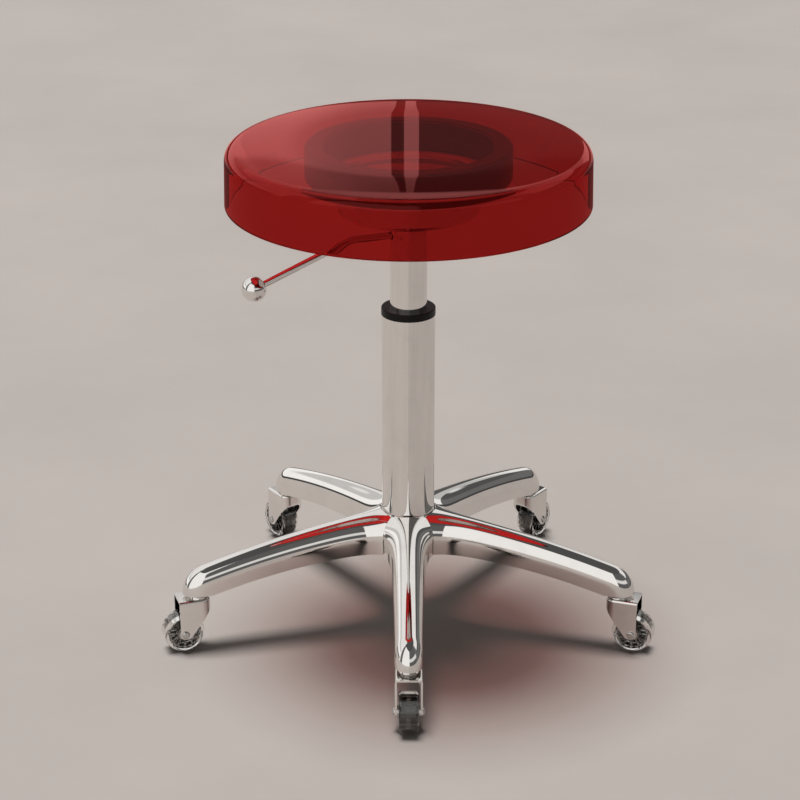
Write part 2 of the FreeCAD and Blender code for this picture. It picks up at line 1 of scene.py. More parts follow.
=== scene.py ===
# %% [markdown]
# A salon stool with a see-through seat
#
# The stool is a red, clear moulded seat on a bright plated column. A gas spring lifts it, a bent lever
# with a ball knob lets it go, and five pressed legs carry it on swivelling casters with clear tyres.
# The construction comes in ready-made and to size. This lesson gives every surface its finish, models
# the pieces that need smoother forms than the construction has, and sets up a small photo studio.

# %% Load the construction
import math

import bpy
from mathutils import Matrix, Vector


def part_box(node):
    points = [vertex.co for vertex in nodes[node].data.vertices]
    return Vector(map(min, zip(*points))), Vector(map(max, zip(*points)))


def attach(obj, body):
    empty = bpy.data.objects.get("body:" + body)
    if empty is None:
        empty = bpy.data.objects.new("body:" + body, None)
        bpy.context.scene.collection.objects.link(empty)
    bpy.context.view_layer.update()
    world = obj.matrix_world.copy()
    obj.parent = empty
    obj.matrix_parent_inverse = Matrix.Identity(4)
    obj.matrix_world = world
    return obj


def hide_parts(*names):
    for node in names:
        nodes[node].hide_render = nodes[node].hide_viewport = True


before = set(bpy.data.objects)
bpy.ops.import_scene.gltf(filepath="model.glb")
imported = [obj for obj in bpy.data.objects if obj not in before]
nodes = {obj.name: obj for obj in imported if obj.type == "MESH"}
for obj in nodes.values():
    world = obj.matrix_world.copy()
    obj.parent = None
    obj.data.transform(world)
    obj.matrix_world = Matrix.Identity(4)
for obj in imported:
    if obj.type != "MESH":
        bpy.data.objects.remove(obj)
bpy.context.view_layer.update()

caster_numbers = range(1, 6)

# %% [markdown]
# The camera
#
# The picture to match was taken from a little over one metre up and two metres away, with a long lens:
# the seat's ellipse and the leg tips give the angle. A perspective camera close to the stool's mid plane
# that only tips downwards is enough, so no shift or roll is needed.

# %% Camera
CAMERA_PLACE = (-0.00816, -2.17254, 1.13594)
CAMERA_TIP = 67.494          # degrees from straight down
CAMERA_LENS = 107.55         # mm
CAMERA_SENSOR = 36.0         # mm wide
CAMERA_REACH = 60.0          # how far it sees, in metres

bpy.ops.object.select_all(action="DESELECT")
bpy.ops.object.camera_add(location=CAMERA_PLACE, rotation=(math.radians(CAMERA_TIP), 0, 0))
camera = bpy.context.object
camera.name = "camera"
camera.data.sensor_width = CAMERA_SENSOR
camera.data.lens = CAMERA_LENS
camera.data.clip_end = CAMERA_REACH
bpy.context.scene.camera = camera
bpy.context.scene.view_settings.view_transform = "Standard"
print("camera:", tuple(round(v, 3) for v in camera.location), "lens", camera.data.lens)

# %% [markdown]
# Node helpers
#
# Every finish below is a small graph of shader nodes. A few short helpers keep the graphs readable. Each
# takes plain numbers or the outputs of other nodes, and hands back an output that the next node can use.
# A texture coordinate on Object is the same as the stool's own frame here, because every piece sits at
# the origin, so a scale of 1000 in a texture means one repeat in a millimetre.


# %% Helpers for single nodes
def plug(tree, value, socket):
    """Links an output to a socket, or sets the socket to a plain value."""
    if isinstance(value, bpy.types.NodeSocket):
        tree.links.new(value, socket)
    else:
        socket.default_value = value


def set_inputs(tree, node, **values):
    """Fills input sockets by name, with _ for a space."""
    for name, value in values.items():
        plug(tree, value, node.inputs[name.replace("_", " ")])


def add_node(tree, kind, settings=None, **values):
    """Adds a node; settings are its properties and values its input sockets."""
    node = tree.nodes.new(kind)
    for name, value in (settings or {}).items():
        setattr(node, name, value)
    set_inputs(tree, node, **values)
    return node


def calculate(tree, operation, *values):
    node = add_node(tree, "ShaderNodeMath", {"operation": operation})
    for value, socket in zip(values, node.inputs):
        plug(tree, value, socket)
    return node.outputs[0]


def spread(tree, value, start, end, low=0.0, high=1.0, curve="LINEAR"):
    """Takes the stretch from start to end to the stretch from low to high."""
    node = add_node(tree, "ShaderNodeMapRange", {"interpolation_type": curve}, Value=value,
                    From_Min=start, From_Max=end, To_Min=low, To_Max=high)
    return node.outputs["Result"]


def split_axes(tree, vector):
    return add_node(tree, "ShaderNodeSeparateXYZ", Vector=vector).outputs


print("helpers for single nodes ready")


# %% Helpers for mixing
def mix_colours(tree, share, first, second):
    node = add_node(tree, "ShaderNodeMix", {"data_type": "RGBA"}, Factor=share)
    plug(tree, first, node.inputs[6])
    plug(tree, second, node.inputs[7])
    return node.outputs[2]


def mix_levels(tree, share, first, second):
    node = add_node(tree, "ShaderNodeMix", Factor=share)
    plug(tree, first, node.inputs[2])
    plug(tree, second, node.inputs[3])
    return node.outputs[0]


def mix_shaders(tree, share, first, second):
    node = tree.nodes.new("ShaderNodeMixShader")
    for value, socket in zip((share, first, second), node.inputs):
        plug(tree, value, socket)
    return node.outputs[0]


print("helpers for mixing ready")


# %% Helpers for materials and groups
def start_material(name):
    """A new material with one Principled shader, ready for its graph."""
    material = bpy.data.materials.new(name)
    material.use_nodes = True
    tree = material.node_tree
    return material, tree, tree.nodes["Principled BSDF"]


def object_coordinates(tree):
    return tree.nodes.new("ShaderNodeTexCoord").outputs["Object"]


def make_group(name, inputs, outputs):
    """A shader node group with a vector input, float inputs (name, default) and float outputs."""
    group = bpy.data.node_groups.new(name, "ShaderNodeTree")
    vector = group.interface.new_socket("Vector", in_out="INPUT", socket_type="NodeSocketVector")
    vector.default_value = (0, 0, 0)
    for label, value in inputs:
        socket = group.interface.new_socket(label, in_out="INPUT", socket_type="NodeSocketFloat")
        socket.default_value = value
    for label in outputs:
        group.interface.new_socket(label, in_out="OUTPUT", socket_type="NodeSocketFloat")
    start = group.nodes.new("NodeGroupInput")
    end = group.nodes.new("NodeGroupOutput")
    return group, start.outputs, end


def use_group(tree, group, **values):
    node = add_node(tree, "ShaderNodeGroup", {"node_tree": group}, **values)
    set_inputs(tree, node, Vector=object_coordinates(tree))
    return node.outputs


print("helpers for materials and groups ready")

# %% [markdown]
# The floor
#
# The floor is plain and pale, with a faint cloudy tone. Plated parts see its right-hand side a little
# darker, as if something stood there outside the picture.

# %% Floor
FLOOR_SIZE = 24.0
FLOOR_TONE = (0.515, 0.465, 0.432, 1)
FLOOR_TONE_SHADED = (0.45, 0.405, 0.375, 1)     # what plated parts mirror on the right-hand side
FLOOR_CLOUD = 0.05                              # how far the cloudy tone moves
FLOOR_CLOUD_RANGE = (0.3, 0.7)                  # the part of the noise that moves it
FLOOR_ROUGHNESS, FLOOR_SHINE = 0.62, 0.2

bpy.ops.object.select_all(action="DESELECT")
bpy.ops.mesh.primitive_plane_add(size=FLOOR_SIZE)
floor = bpy.context.object
floor.name = "floor"

floor_finish, tree, shader = start_material("pale_floor")
where = object_coordinates(tree)
cloud = add_node(tree, "ShaderNodeTexNoise", Vector=where, Scale=2.6, Detail=6.0, Roughness=0.6)
cloud_tone = spread(tree, cloud.outputs["Fac"], *FLOOR_CLOUD_RANGE, 1 - FLOOR_CLOUD, 1 + FLOOR_CLOUD)
right_hand = calculate(tree, "GREATER_THAN", split_axes(tree, where)["X"], 0.0)
light_path = tree.nodes.new("ShaderNodeLightPath").outputs
mirrored_right = calculate(tree, "MULTIPLY", right_hand, light_path["Is Glossy Ray"])
tone = mix_colours(tree, mirrored_right, FLOOR_TONE, FLOOR_TONE_SHADED)
clouded = add_node(tree, "ShaderNodeVectorMath", {"operation": "SCALE"}, Scale=cloud_tone)
plug(tree, tone, clouded.inputs[0])
set_inputs(tree, shader, Base_Color=clouded.outputs[0], Roughness=FLOOR_ROUGHNESS,
           Specular_IOR_Level=FLOOR_SHINE)
floor.data.materials.append(floor_finish)
print("floor:", FLOOR_SIZE, "m square")

# %% [markdown]
# The room
#
# A picture of bright plate is mostly a picture of what stands round it. The room is drawn straight into
# the world shader, by direction: pale walls with dark gaps, which give plated edges their thin dark
# lines, and a dark ceiling above. The back wall has a shaded foot and a paler upper part, and one narrow
# dark and one narrow light strip, which the seat's flat top mirrors. A window is lit at the front right.
#
# Not every ray sees the same room. Mirror images get the full tones, and the floor only a share of their
# light. Straight ahead, and through the seat, there is a plain warm backdrop. The ceiling is lit only
# where it is seen through the red plastic, because that light makes the red streaks on the legs.

# %% World: sizes and tones
CRISP = 0.01                       # half of a sharp edge, in degrees
WINDOW_SIDES = (106, 173)
WALL_BANDS = (                     # degrees round from the back, to the right: start, half of its edge, tone
    (-180, CRISP, 0.95),
    (-117, CRISP, 0.15),
    (-98, CRISP, 1.0),
    (-7, CRISP, 0.85),
    (-2.4, 1.8, 0.50),
    (-0.22, CRISP, 0.09),
    (0.10, CRISP, 0.56),
    (0.47, CRISP, 0.11),
    (12, CRISP, 0.90),
    (30, CRISP, 0.15),
    (WINDOW_SIDES[0], CRISP, 0.75),
    (WINDOW_SIDES[1], CRISP, 0.95),
)
# Edges are heights in a unit direction: 0 is level, 1 is straight up.
WALL_FADE, WALL_FADE_SHARE = (0.30, 0.34), 0.6         # the back wall darkens upwards
WALL_BASE_EDGE, WALL_BASE_TONE = (0.08, 0.11), 0.06
UPPER_WALL_EDGE, UPPER_WALL_TONE = (0.445, 0.465), 0.85
WINDOW_SILL, WINDOW_HEAD, WINDOW_SHADE = (0.22, 0.27), (0.42, 0.48), 0.15
CEILING_EDGE, CEILING_TONE = (0.785, 0.82), 0.08
CEILING_TILT = 0.08                # the ceiling starts lower at the back than at the front
CEILING_LEFT_LIFT = (0.25, 0.70)   # it starts higher on the left: at the front, and at the back
CEILING_LAMP_EDGE, CEILING_LAMP_TONE = (0.80, 0.90), 1.9
CEILING_PLATE_SHARE = 0.6          # how much of the lit ceiling shows where plate mirrors the seat
BACKDROP_EDGE, BACKDROP_TONE = (0.20, 0.30), 0.46
ROOM_TINT = (1.0, 0.985, 0.965, 1)
BACKDROP_TINT = (1.0, 0.90, 0.84, 1)
AMBIENT_SHARE = 0.20               # how much of the mirrored tones also lights the floor
print("bands of light round the room:", len(WALL_BANDS))

# %% World: directions
world = bpy.data.worlds.new("studio")
bpy.context.scene.world = world
world.use_nodes = True
tree = world.node_tree
axes = split_axes(tree, tree.nodes.new("ShaderNodeTexCoord").outputs["Generated"])
light_path = tree.nodes.new("ShaderNodeLightPath").outputs


def blend(share, first, second):
    return mix_levels(tree, share, first, second)


def times(first, second):
    return calculate(tree, "MULTIPLY", first, second)


def rise(value, edge):
    """0 below an edge, 1 above it, and soft between its two ends."""
    return spread(tree, value, *edge, curve="SMOOTHSTEP")


height = axes["Z"]
azimuth = calculate(tree, "ARCTAN2", axes["X"], axes["Y"])
at_back = calculate(tree, "GREATER_THAN", axes["Y"], 0.0)
print("directions ready")

# %% World: walls, window and ceiling
level = 0.0
for edge, softness, band_tone in WALL_BANDS:
    begun = rise(azimuth, (math.radians(edge - softness), math.radians(edge + softness)))
    level = blend(begun, level, band_tone)
fade = blend(rise(height, WALL_FADE), 1.0, WALL_FADE_SHARE)
level = times(level, blend(at_back, 1.0, fade))
level = blend(times(rise(height, UPPER_WALL_EDGE), at_back), level, UPPER_WALL_TONE)
below_base = calculate(tree, "SUBTRACT", 1.0, rise(height, WALL_BASE_EDGE))
level = blend(times(below_base, at_back), level, WALL_BASE_TONE)

window_start, window_end = (math.radians(side) for side in WINDOW_SIDES)
front_right = times(calculate(tree, "GREATER_THAN", azimuth, window_start),
                    calculate(tree, "LESS_THAN", azimuth, window_end))
pane = calculate(tree, "SUBTRACT", rise(height, WINDOW_SILL), rise(height, WINDOW_HEAD))
level = times(level, blend(front_right, 1.0, blend(pane, WINDOW_SHADE, 1.0)))

tilted_height = calculate(tree, "ADD", height, times(axes["Y"], CEILING_TILT))
left_lift = times(calculate(tree, "MINIMUM", axes["X"], 0.0), blend(at_back, *CEILING_LEFT_LIFT))
tilted_height = calculate(tree, "ADD", tilted_height, left_lift)
level = blend(rise(tilted_height, CEILING_EDGE), level, CEILING_TONE)
print("walls, window and ceiling drawn")

# %% World: what each kind of ray sees
through_seat = light_path["Is Transmission Ray"]
straight_on = light_path["Is Camera Ray"]
in_plate = calculate(tree, "GREATER_THAN", light_path["Glossy Depth"], 0.5)
lit_ceiling = times(times(rise(height, CEILING_LAMP_EDGE), through_seat),
                    blend(in_plate, 1.0, CEILING_PLATE_SHARE))
level = blend(lit_ceiling, level, CEILING_LAMP_TONE)

low_down = calculate(tree, "SUBTRACT", 1.0, rise(height, BACKDROP_EDGE))
on_backdrop = calculate(tree, "MAXIMUM", times(low_down, through_seat), straight_on)
level = blend(on_backdrop, level, BACKDROP_TONE)

mirrored = calculate(tree, "MAXIMUM", light_path["Is Glossy Ray"], through_seat)
not_lighting = calculate(tree, "LESS_THAN", light_path["Diffuse Depth"], 0.5)
seen = times(calculate(tree, "MAXIMUM", mirrored, straight_on), not_lighting)
level = times(level, blend(seen, AMBIENT_SHARE, 1.0))
set_inputs(tree, tree.nodes["Background"], Strength=level,
           Color=mix_colours(tree, on_backdrop, ROOM_TINT, BACKDROP_TINT))
print("world:", world.name, len(tree.nodes), "nodes")

# %% [markdown]
# One lamp
#
# The world already gives soft light from everywhere. One broad lamp above and a little behind the stool
# adds the soft pool of shadow under the legs. It is a sun lamp with a wide angle, so its shadows blur as
# those of a large ceiling panel do, and it stays out of mirror images and out of what shows through the
# seat, because the room has a ceiling of its own for those.

# %% Lamp
LAMP_PLACE = (-0.22, 0.36, 2.7)
LAMP_SPREAD = 21.0           # degrees across, as seen from the floor
LAMP_STRENGTH = 2.86         # lights a floor that lies square to it to about its own colour

bpy.ops.object.select_all(action="DESELECT")
bpy.ops.object.light_add(type="SUN", location=LAMP_PLACE)
lamp = bpy.context.object
lamp.name = "overhead_panel"
lamp.data.angle = math.radians(LAMP_SPREAD)
lamp.data.energy = LAMP_STRENGTH
lamp.visible_glossy = False
lamp.visible_transmission = False
lamp.rotation_euler = (-lamp.location).to_track_quat("-Z", "Y").to_euler()
print("lamp:", LAMP_STRENGTH, "W/m2")

# %% [markdown]
# Shared effects
#
# Two effects return on several finishes. Handling marks are faint smears and hair-fine scratches that
# only change the gloss, as on any plated part that has been wiped. Moulding is the slight unevenness
# of moulded surfaces: a slow tone change, a fine height and a gloss change.

# %% Handling marks
SMEAR_RANGE = (0.48, 0.75)             # the part of the noise that shows as smears
HAIR_RANGE = (0.62, 0.72)              # and as scratches
HAIR_STRETCH = (900.0, 900.0, 60.0)    # fine across, long along
HAIR_TURN = (0.3, 0.2, 0.5)            # radians, so that they follow no edge

handling, given, end = make_group(
    "handling_marks",
    [("Gloss", 0.06), ("Smear", 0.05), ("Scratch", 0.03)],
    ["Roughness", "Height", "Tone"],
)
smear = add_node(handling, "ShaderNodeTexNoise", Vector=given["Vector"], Scale=34.0, Detail=4.0,
                 Roughness=0.55, Distortion=0.6)
smear_share = spread(handling, smear.outputs["Fac"], *SMEAR_RANGE)
stretch = add_node(handling, "ShaderNodeMapping", Vector=given["Vector"],
                   Scale=HAIR_STRETCH, Rotation=HAIR_TURN)
hair = add_node(handling, "ShaderNodeTexNoise", Vector=stretch.outputs[0], Scale=1.0, Detail=2.0)
hair_share = spread(handling, hair.outputs["Fac"], *HAIR_RANGE)
smeared = calculate(handling, "MULTIPLY", smear_share, given["Smear"])
marked = calculate(handling, "MULTIPLY_ADD", hair_share, given["Scratch"], smeared)
set_inputs(handling, end, Roughness=calculate(handling, "ADD", marked, given["Gloss"]),
           Height=hair_share, Tone=smear_share)
print("group:", handling.name)

# %% Moulded surface
moulded, given, end = make_group(
    "moulded_surface",
    [("Gloss", 0.3), ("Spread", 0.1), ("Grain", 900.0)],
    ["Roughness", "Height", "Tone"],
)
flow = add_node(moulded, "ShaderNodeTexNoise", Vector=given["Vector"], Scale=22.0, Detail=3.0)
grain = add_node(moulded, "ShaderNodeTexNoise", Vector=given["Vector"], Scale=given["Grain"], Detail=2.0)
gloss = calculate(moulded, "MULTIPLY_ADD", flow.outputs["Fac"], given["Spread"], given["Gloss"])
set_inputs(moulded, end, Roughness=gloss, Height=grain.outputs["Fac"], Tone=flow.outputs["Fac"])
print("group:", moulded.name)

# %% [markdown]
# Bright plate
#
# Tubes, legs, tray, lever and forks are polished steel with a bright nickel and chrome plate. It is a
# metal with almost no roughness. The handling marks vary its gloss and its tone by a hair, and a tiny
# bump lets the scratches catch light. Tray and mounting plate are plated too, but their upper sides,
# which show through the seat, are painted pale.


# %% Helpers for finishes
def add_bump(tree, shader, height, strength, distance):
    bump = add_node(tree, "ShaderNodeBump", Height=height, Strength=strength, Distance=distance)
    set_inputs(tree, shader, Normal=bump.outputs["Normal"])


def two_tone(tree, share, first, second):
    """A colour that slides between two tones of the same finish."""
    return mix_colours(tree, share, (*first, 1), (*second, 1))


def metal(name, tones, marks):
    """A metal with two tones and handling marks: gloss, smear and scratch."""
    gloss, smear, scratch = marks
    material, tree, shader = start_material(name)
    skin = use_group(tree, handling, Gloss=gloss, Smear=smear, Scratch=scratch)
    set_inputs(tree, shader, Base_Color=two_tone(tree, skin["Tone"], *tones),
               Roughness=skin["Roughness"], Metallic=1.0)
    add_bump(tree, shader, skin["Height"], *SCRATCH_BUMP)
    return material


def mask_upward(tree):
    """1 where the surface faces up, 0 elsewhere."""
    normal = tree.nodes.new("ShaderNodeNewGeometry").outputs["Normal"]
    return spread(tree, split_axes(tree, normal)["Z"], *UPWARD_EDGE)


UPWARD_EDGE = (0.2, 0.4)               # the upward part of the normal
SCRATCH_BUMP = (0.02, 0.0001)          # strength, and depth in metres
print("helpers for finishes ready")

# %% Bright plate
PLATE_TONES = ((0.86, 0.84, 0.82), (0.80, 0.78, 0.76))
STEEL_TONES = ((0.60, 0.59, 0.57), (0.52, 0.51, 0.50))
PLATE_MARKS = (0.018, 0.035, 0.02)
STEEL_MARKS = (0.22, 0.10, 0.10)
TRAY_ROUGHNESS, PAINT_ROUGHNESS = 0.03, 0.6

chrome = metal("bright_plate", PLATE_TONES, PLATE_MARKS)
steel = metal("turned_steel", STEEL_TONES, STEEL_MARKS)
tray_plate = metal("tray_plate", PLATE_TONES, PLATE_MARKS)
tree = tray_plate.node_tree
painted = mask_upward(tree)
set_inputs(tree, tree.nodes["Principled BSDF"], Metallic=spread(tree, painted, 0, 1, 1.0, 0.0),
           Roughness=spread(tree, painted, 0, 1, TRAY_ROUGHNESS, PAINT_ROUGHNESS))
print("metals:", chrome.name, steel.name, tray_plate.name)

# %% [markdown]
# Clear plastics
#
# The seat is clear acrylic dyed through, the tyres are clear and their cores smoky. The dye is set as the
# colour of a fully clear shader. Shadow rays take a plain tinted see-through shader instead, so the floor
# below gets a soft red glow and not a black disc.
#
# The red seat has three more traits. One wall lets through less than half of the red light and next to
# nothing else, but light that is red already loses nothing more in a second wall. Some light is mirrored
# inside the wall and comes back as a red gleam, more at flat angles. The upright wall shows hardly any
# mirror image, so most of it only bends light.


# %% Clear plastics
def clear_plastic(name, tint, flow_tint, shadow_tint, index):
    """A clear dyed plastic; returns the material with the sockets that a richer one builds on."""
    material, tree, shader = start_material(name)
    colour = two_tone(tree, use_group(tree, moulded)["Tone"], tint, flow_tint)
    set_inputs(tree, shader, Base_Color=colour, Roughness=0.0, Transmission_Weight=1.0, IOR=index)
    tinted = add_node(tree, "ShaderNodeBsdfTransparent", Color=(*shadow_tint, 1))
    light_path = tree.nodes.new("ShaderNodeLightPath").outputs
    surface = mix_shaders(tree, light_path["Is Shadow Ray"], shader.outputs[0], tinted.outputs[0])
    set_inputs(tree, tree.nodes["Material Output"], Surface=surface)
    return material, colour, light_path, surface.node


CORE_TINTS = ((0.27, 0.26, 0.25), (0.22, 0.21, 0.20), (0.25, 0.24, 0.23))   # the last one for shadows
TYRE_TINTS = ((0.93, 0.92, 0.90), (0.88, 0.87, 0.85), (0.8, 0.8, 0.8))
CORE_INDEX, TYRE_INDEX = 1.52, 1.42
core_plastic = clear_plastic("smoky_core", *CORE_TINTS, CORE_INDEX)[0]
clear_tyre = clear_plastic("clear_tyre", *TYRE_TINTS, TYRE_INDEX)[0]
print("clear:", core_plastic.name, clear_tyre.name)

# %% Red clear plastic
WALL_TINT = (0.42, 0.018, 0.017)
WALL_FLOW_TINT = (0.39, 0.016, 0.015)      # where the dye flowed a little thicker
SECOND_WALL_TINT = (1.0, 0.5, 0.5, 1)
SHADOW_TINT = (0.62, 0.42, 0.41)
WALL_INDEX = 1.2
INNER_GLEAM = (0.95, 0.07, 0.06, 1)        # what the dye leaves of light mirrored inside the wall
GLEAM_SHARE, GLEAM_INDEX, GLEAM_ROUGHNESS = 0.42, 1.8, 0.02
WALLS_PASSED = 1.5                         # a ray that has passed more skins meets a later wall
SKIN_SHARE = 0.5                           # half of the dye at each of the wall's two skins
CALM_WALL = 0.8                            # how far the upright wall goes without mirror images

red_clear, first_wall, light_path, surface = clear_plastic(
    "red_clear_plastic", WALL_TINT, WALL_FLOW_TINT, SHADOW_TINT, WALL_INDEX)
tree = red_clear.node_tree
shader = tree.nodes["Principled BSDF"]
later_wall = calculate(tree, "GREATER_THAN", light_path["Transmission Depth"], WALLS_PASSED)
wall_tint = mix_colours(tree, later_wall, first_wall, SECOND_WALL_TINT)
set_inputs(tree, shader, Base_Color=wall_tint)

gleam = add_node(tree, "ShaderNodeBsdfAnisotropic", Color=INNER_GLEAM, Roughness=GLEAM_ROUGHNESS)
inside = tree.nodes.new("ShaderNodeNewGeometry").outputs["Backfacing"]
outside_share = calculate(tree, "MULTIPLY_ADD", inside, -GLEAM_SHARE, GLEAM_SHARE)
fresnel = add_node(tree, "ShaderNodeFresnel", IOR=GLEAM_INDEX)
gleam_share = calculate(tree, "MULTIPLY", fresnel.outputs[0], outside_share)
gleaming = mix_shaders(tree, gleam_share, shader.outputs[0], gleam.outputs[0])

skin_tint = add_node(tree, "ShaderNodeGamma", Color=wall_tint, Gamma=SKIN_SHARE)
calm = add_node(tree, "ShaderNodeBsdfRefraction", Color=skin_tint.outputs[0], IOR=WALL_INDEX, Roughness=0.0)
calm_share = spread(tree, mask_upward(tree), 0, 1, CALM_WALL, 0.0)
plug(tree, mix_shaders(tree, calm_share, gleaming, calm.outputs[0]), surface.inputs[1])
print("clear:", red_clear.name)

# %% [markdown]
# Other plastics
#
# The drum under the seat, the collar and the bonding paste are ordinary moulded plastics, which differ in
# tone, gloss and grain.

# %% Other plastics
GRAIN_DEPTH = 0.0002         # metres


def plastic(name, tones, gloss, spread_of_gloss, grain=900.0, bump=0.03, shine=0.5):
    material, tree, shader = start_material(name)
    skin = use_group(tree, moulded, Gloss=gloss, Spread=spread_of_gloss, Grain=grain)
    set_inputs(tree, shader, Base_Color=two_tone(tree, skin["Tone"], *tones),
               Roughness=skin["Roughness"], Specular_IOR_Level=shine)
    add_bump(tree, shader, skin["Height"], bump, GRAIN_DEPTH)
    return material


DRUM_TONES = ((0.22, 0.19, 0.175), (0.19, 0.165, 0.15))
BLACK_TONES = ((0.006, 0.005, 0.005), (0.010, 0.009, 0.008))
PASTE_TONES = ((0.20, 0.16, 0.15), (0.16, 0.13, 0.12))
drum_plastic = plastic("drum_plastic", DRUM_TONES, gloss=0.25, spread_of_gloss=0.15)
black_plastic = plastic("black_plastic", BLACK_TONES, gloss=0.35, spread_of_gloss=0.2, shine=0.2)
bond_paste = plastic("bond_paste", PASTE_TONES, gloss=0.4, spread_of_gloss=0.2, grain=2400.0, bump=0.1)
print("plastics:", drum_plastic.name, black_plastic.name, bond_paste.name)

# %% [markdown]
# Dressing the construction
#
# Each ready-made node gets its finish by name. A node keeps its mesh; only its material slots change.

# %% Dress the nodes
finishes = {
    tray_plate: ["seat_tray", "mounting_plate"],
    chrome: ["inner_tube", "outer_tube", "lever_rod", "lever_knob", "base_hub"],
    steel: ["tray_screws", "taper_sleeve", "gas_cylinder", "gas_gland", "piston_rod", "piston",
            "release_pin", "lever_pin", "foot_plate", "thrust_washer_lower", "thrust_washer_upper",
            "thrust_balls", "rod_clip", "stem_sockets", "caster_stems", "swivel_races", "swivel_balls"],
    drum_plastic: ["support_ring"],
    black_plastic: ["column_collar", "tube_slider", "thrust_cage"],
    bond_paste: ["bond_ring"],
    red_clear: ["seat_shell"],
    core_plastic: [],
    clear_tyre: [],
}
for number in caster_numbers:
    finishes[chrome] += [f"leg_{number}", f"caster_fork_{number}"]
    finishes[steel] += [f"axle_bolt_{number}", f"wheel_bearings_{number}"]
    finishes[core_plastic] += [f"wheel_core_{number}"]
    finishes[clear_tyre] += [f"tyre_{number}"]
for material, names in finishes.items():
    for name in names:
        mesh = nodes[name].data
        if not mesh.materials:
            mesh.materials.append(material)
        for index in range(len(mesh.materials)):
            mesh.materials[index] = material
undressed = sorted(set(nodes) - {name for names in finishes.values() for name in names})
print("undressed nodes:", undressed)

# %% [markdown]
# Legs
#
# Each leg is pressed from sheet: an arched channel, open below, that leaves the hub wide and high, falls
# in a gentle arc and turns straight down over its caster. Bright plate shows the smallest unevenness as
# a ragged mirror image, so the leg is built again here as an even net. It starts as half a circle, gets
# its straight sides, and is then extruded station by station: a small turn about the middle of the arc,
# a little narrower each time, and at the end the turn-down. The first stretch flares out towards the
# neighbours and up the column. Two cuts mitre the leg against its neighbours, Solidify gives the sheet its
# thickness, and a plain cylinder cuts it to the hub.

# %% Leg: sizes
LEG_ROOT = (0.024, 0.0835)           # reach and height of the underside at the hub
LEG_TIP = (0.2056, 0.0595)           # the same where the turn-down starts
LEG_TIP_HALF = 0.01375               # half the width
LEG_TIP_SIDE = 0.0115                # straight lower part of the side
LEG_TIP_CROWN = 0.0165               # crown above the straight part
LEG_ROOT_WIDER = 38.0 / 27.5
LEG_ROOT_HIGHER = 37.0 / 28.0
LEG_TAPER = 2                        # the power with which both shrink towards the tip
LEG_FLARE_WIDER, LEG_FLARE_WIDER_POWER = 1.2, 14
LEG_FLARE_HIGHER, LEG_FLARE_HIGHER_POWER = 0.05, 8
LEG_SHEET = 0.0025
LEG_CIRCLE_STEPS = 96
LEG_SIDE_STEPS = 4
LEG_ARC_STEPS = 60
LEG_ELBOW_STEPS = 20
HUB_RADIUS = 0.02827
HUB_STEPS = 256
HUB_CUT = 0.4                        # length of the cylinder that cuts, more than the leg is high
LEG_WELD = 1e-5                      # points closer than this become one
LEG_SMOOTH = math.radians(40)        # edges sharper than this stay crisp

leg_run = LEG_TIP[0] - LEG_ROOT[0]
leg_rise = LEG_ROOT[1] - LEG_TIP[1]
leg_fall = 2 * math.atan2(leg_rise, leg_run)
leg_arc = math.hypot(leg_run, leg_rise) / (2 * math.sin(leg_fall / 2))
leg_arc_centre = (LEG_ROOT[0], 0, LEG_ROOT[1] - leg_arc)
print("leg arc radius:", round(leg_arc, 4), "falls", round(math.degrees(leg_fall), 2), "degrees")


# %% Leg: helpers
def wider_at(share):
    """How much wider the leg is than its tip, at a share of the way from hub to tip."""
    left = 1 - share
    return 1 + (LEG_ROOT_WIDER - 1) * left ** LEG_TAPER + LEG_FLARE_WIDER * left ** LEG_FLARE_WIDER_POWER


def higher_at(share):
    left = 1 - share
    return 1 + (LEG_ROOT_HIGHER - 1) * left ** LEG_TAPER + LEG_FLARE_HIGHER * left ** LEG_FLARE_HIGHER_POWER


def pick_vertices(piece, test):
    """Selects, in edit mode, the vertices whose place passes the test."""
    bpy.ops.mesh.select_mode(type="VERT")
    bpy.ops.mesh.select_all(action="DESELECT")
    bpy.ops.object.mode_set(mode="OBJECT")
    for vertex in piece.data.vertices:
        vertex.select = test(vertex.co)
    bpy.ops.object.mode_set(mode="EDIT")


TURN_SIGN = -1               # with no window the operator counts the other way round


def turn(degrees_down, centre):
    """Turns the selection about an axis along Y, so that what points along +X tips down."""
    bpy.ops.transform.rotate(value=TURN_SIGN * math.radians(degrees_down), orient_axis="Y",
                             center_override=centre)


def extrude(step=(0, 0, 0)):
    bpy.ops.mesh.extrude_region_move(TRANSFORM_OT_translate={"value": step})


def count_triangles(piece):
    return sum(len(face.vertices) - 2 for face in piece.data.polygons)


print("root against tip:", round(wider_at(0), 3), "times as wide,", round(higher_at(0), 3), "times as high")

# %% Leg: half circle with straight sides
bpy.ops.object.select_all(action="DESELECT")
bpy.ops.mesh.primitive_circle_add(vertices=LEG_CIRCLE_STEPS, radius=1.0)
leg = bpy.context.object
leg.name = "leg_pattern"
bpy.ops.object.mode_set(mode="EDIT")
bpy.ops.mesh.select_all(action="SELECT")
turn(90, (0, 0, 0))
pick_vertices(leg, lambda place: place.z < -0.001)
bpy.ops.mesh.delete(type="VERT")
bpy.ops.mesh.select_all(action="SELECT")
bpy.ops.transform.resize(
    value=(1, LEG_TIP_HALF * wider_at(0), LEG_TIP_CROWN * higher_at(0)), center_override=(0, 0, 0))
pick_vertices(leg, lambda place: place.z < 1e-6)
for _ in range(LEG_SIDE_STEPS):
    extrude((0, 0, -LEG_TIP_SIDE * higher_at(0) / LEG_SIDE_STEPS))
bpy.ops.mesh.select_all(action="SELECT")
bpy.ops.transform.translate(value=(LEG_ROOT[0], 0, LEG_ROOT[1] + LEG_TIP_SIDE * higher_at(0)))
